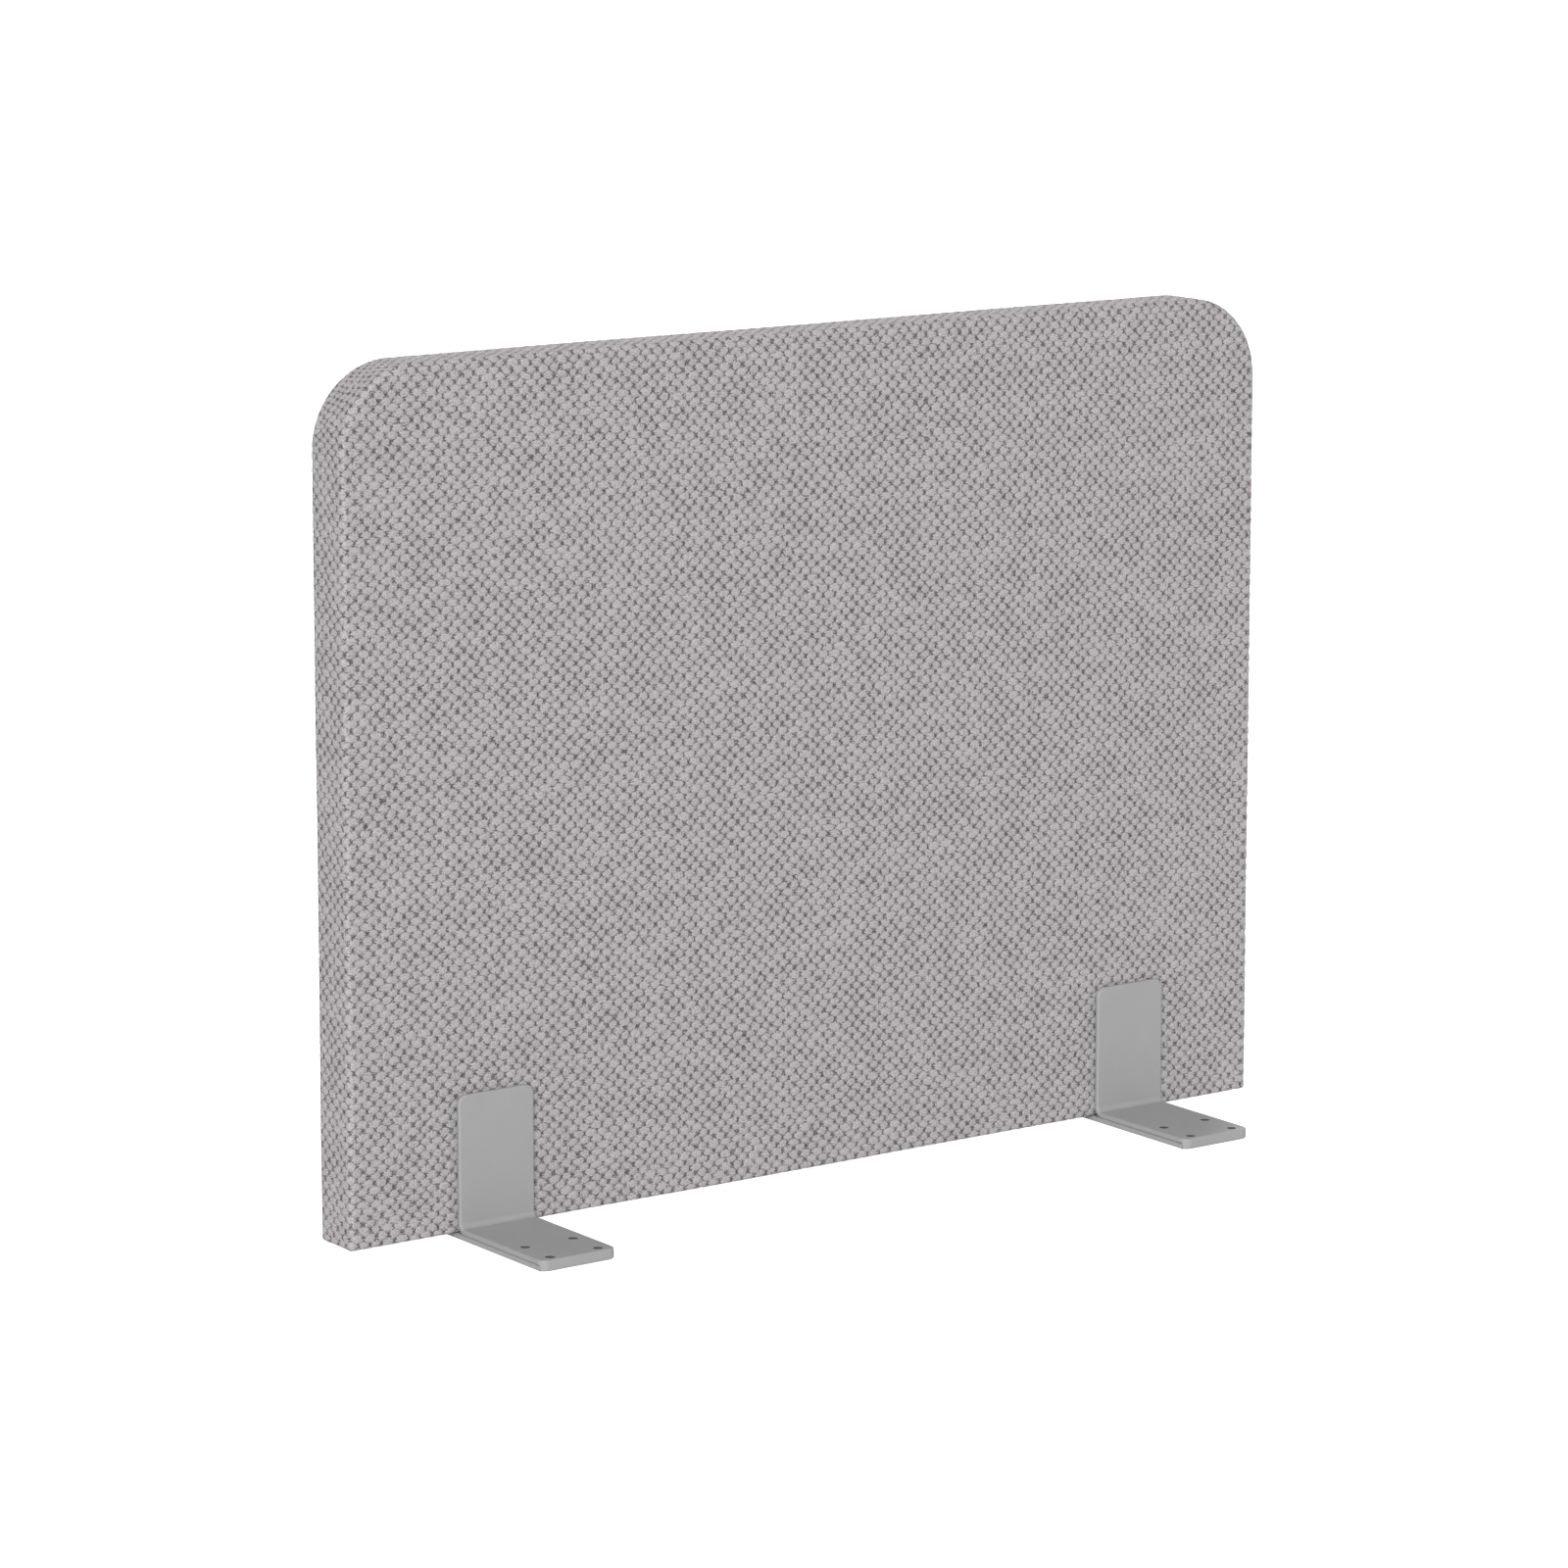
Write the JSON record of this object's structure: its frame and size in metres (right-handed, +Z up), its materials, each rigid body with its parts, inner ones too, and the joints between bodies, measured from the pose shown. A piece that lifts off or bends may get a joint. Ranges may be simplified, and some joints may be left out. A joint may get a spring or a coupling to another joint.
{
  "type": "desk privacy panel",
  "caption": "Fabric-covered desk screen with rounded top corners, clamped in two grey steel brackets whose feet screw down to the desk top.",
  "frame": {"origin": "middle of the base, on the desk top", "axes": "+X along the panel's width, to the right seen from the front; +Y towards the rear; +Z up. The front face, where the feet reach out, looks along -Y"},
  "size_m": [0.6, 0.1168, 0.46],
  "materials": {
    "core_board": "raw wood-fibre board",
    "pad": "soft pale felt",
    "cover_cloth": "coarse plain weave, light warm grey",
    "closing_strip": "thin dark non-woven cloth",
    "powder_coated_steel": "fine satin powder coat, mid grey",
    "zinc": "bright zinc plate",
    "staple_wire": "galvanised wire"
  },
  "bodies": {
    "root": {"core_board": "core_board", "front_pad": "pad", "rear_pad": "pad", "front_cover": "cover_cloth", "rear_cover": "cover_cloth", "bottom_strip": "closing_strip", "bottom_staples": "staple_wire", "left_front_angle": "powder_coated_steel", "left_rear_angle": "powder_coated_steel", "left_lower_bush": "zinc", "left_lower_screw": "zinc", "left_lower_washer": "zinc", "left_upper_bush": "zinc", "left_upper_screw": "zinc", "left_upper_washer": "zinc", "right_front_angle": "powder_coated_steel", "right_rear_angle": "powder_coated_steel", "right_lower_bush": "zinc", "right_lower_screw": "zinc", "right_lower_washer": "zinc", "right_upper_bush": "zinc", "right_upper_screw": "zinc", "right_upper_washer": "zinc"}
  },
  "joints": []
}
